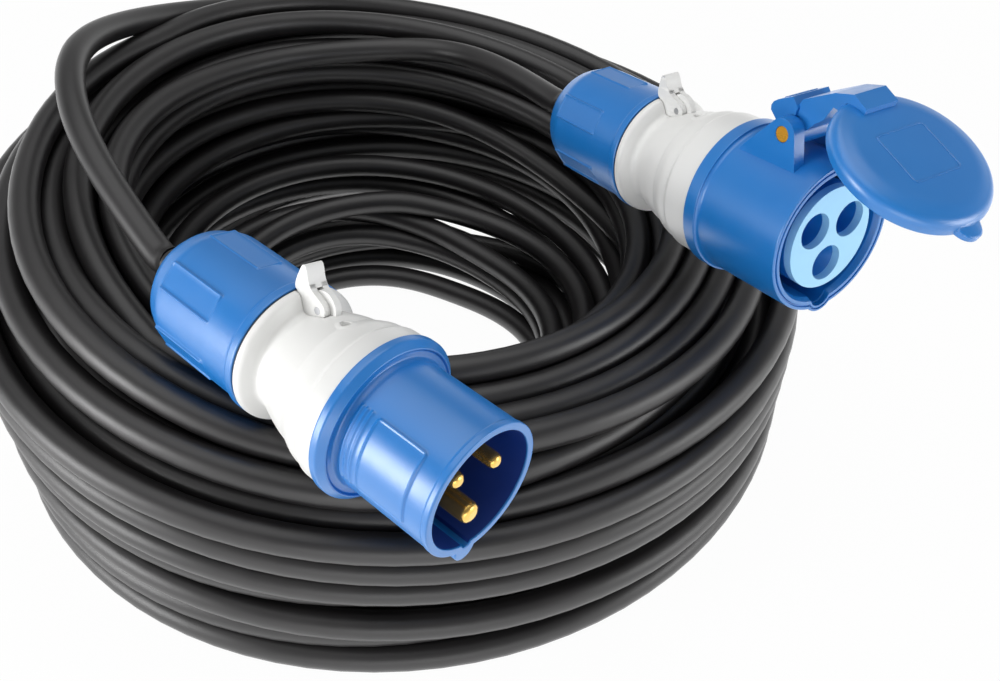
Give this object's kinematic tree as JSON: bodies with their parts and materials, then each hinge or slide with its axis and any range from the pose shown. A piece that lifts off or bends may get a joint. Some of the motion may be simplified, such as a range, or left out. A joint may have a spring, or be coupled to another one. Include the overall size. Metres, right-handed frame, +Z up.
{
  "type": "shore power extension cord",
  "caption": "Coiled rubber shore power cord with a shrouded pin plug and a lidded socket connector, both with screw glands and latch levers.",
  "frame": {"origin": "on the floor under the middle of the whole object's box", "axes": "+Z up along the coil's axis; the plug and the connector lie at the front and the right, on the coil; +X to the right and +Y to the back"},
  "size_m": [0.3719, 0.385, 0.1915],
  "materials": {
    "cable_rubber": "matte",
    "seal_rubber": "matte",
    "blue_plastic": "satin",
    "dark_blue_plastic": "satin",
    "pale_blue_plastic": "satin",
    "white_plastic": "satin",
    "brass": "bright",
    "steel": "zinc plated",
    "wire_brown": "satin",
    "wire_blue": "satin",
    "wire_green": "satin"
  },
  "bodies": {
    "cord": {"cord_coil_core": "cable_rubber", "cord_coil_turns": "cable_rubber", "plug_cord_tail": "cable_rubber", "connector_cord_tail": "cable_rubber", "plug_cord_end": "cable_rubber", "plug_front_housing": "blue_plastic", "plug_pin_carrier": "dark_blue_plastic", "plug_live_pin": "brass", "plug_neutral_pin": "brass", "plug_earth_pin": "brass", "plug_terminal_screws": "steel", "plug_live_wire": "wire_brown", "plug_neutral_wire": "wire_blue", "plug_earth_wire": "wire_green", "plug_rear_body": "white_plastic", "plug_nut_seal": "seal_rubber", "plug_cable_grommet": "seal_rubber", "plug_latch_pin": "steel", "connector_cord_end": "cable_rubber", "connector_housing": "blue_plastic", "connector_face_plate": "pale_blue_plastic", "connector_contact_carrier": "blue_plastic", "connector_live_sleeve": "brass", "connector_neutral_sleeve": "brass", "connector_earth_sleeve": "brass", "connector_terminal_screws": "steel", "connector_live_wire": "wire_brown", "connector_neutral_wire": "wire_blue", "connector_earth_wire": "wire_green", "connector_rear_body": "white_plastic", "connector_nut_seal": "seal_rubber", "connector_cable_grommet": "seal_rubber", "connector_latch_pin": "steel", "lid_hinge_pin": "brass"},
    "plug_clamp": {"plug_clamping_ring": "white_plastic"},
    "plug_nut": {"plug_gland_nut": "blue_plastic"},
    "plug_lever": {"plug_latch_lever": "white_plastic"},
    "connector_clamp": {"connector_clamping_ring": "white_plastic"},
    "connector_nut": {"connector_gland_nut": "blue_plastic"},
    "connector_lever": {"connector_latch_lever": "white_plastic"},
    "lid": {"connector_lid": "blue_plastic", "connector_lid_gasket": "seal_rubber", "lid_spring": "steel"}
  },
  "joints": [
    {"name": "plug_nut_advance", "type": "slide", "parent": "cord", "child": "plug_clamp", "axis": [-0.7429, 0.6689, 0.0262], "range_m": [0, 0.006]},
    {"name": "plug_nut_turn", "type": "hinge", "parent": "plug_clamp", "child": "plug_nut", "pos_m": [-0.03065, -0.11969, 0.12319], "axis": [-0.7429, 0.6689, 0.0262], "range_deg": [0, 720]},
    {"name": "plug_lever_pivot", "type": "hinge", "parent": "cord", "child": "plug_lever", "pos_m": [-0.01573, -0.12379, 0.14297], "axis": [0.6263, 0.7084, -0.3255], "range_deg": [0, 40], "stiffness_Nm_per_rad": 0.02, "springref_deg": -5.73},
    {"name": "connector_nut_advance", "type": "slide", "parent": "cord", "child": "connector_clamp", "axis": [-0.5393, 0.8305, -0.1392], "range_m": [0, 0.006]},
    {"name": "connector_nut_turn", "type": "hinge", "parent": "connector_clamp", "child": "connector_nut", "pos_m": [0.09928, -0.00809, 0.12641], "axis": [-0.5393, 0.8305, -0.1392], "range_deg": [0, 720]},
    {"name": "connector_lever_pivot", "type": "hinge", "parent": "cord", "child": "connector_lever", "pos_m": [0.10609, -0.01584, 0.1493], "axis": [0.8419, 0.5352, -0.0691], "range_deg": [0, 40], "stiffness_Nm_per_rad": 0.02, "springref_deg": -5.73},
    {"name": "lid_hinge", "type": "hinge", "parent": "cord", "child": "lid", "pos_m": [0.13855, -0.06415, 0.17068], "axis": [0.8419, 0.5352, -0.0691], "range_deg": [-27, 63]}
  ],
  "couplings": [
    {"joint": "plug_nut_turn", "follows": "plug_nut_advance", "rad_per_m": 2094},
    {"joint": "connector_nut_turn", "follows": "connector_nut_advance", "rad_per_m": 2094}
  ]
}
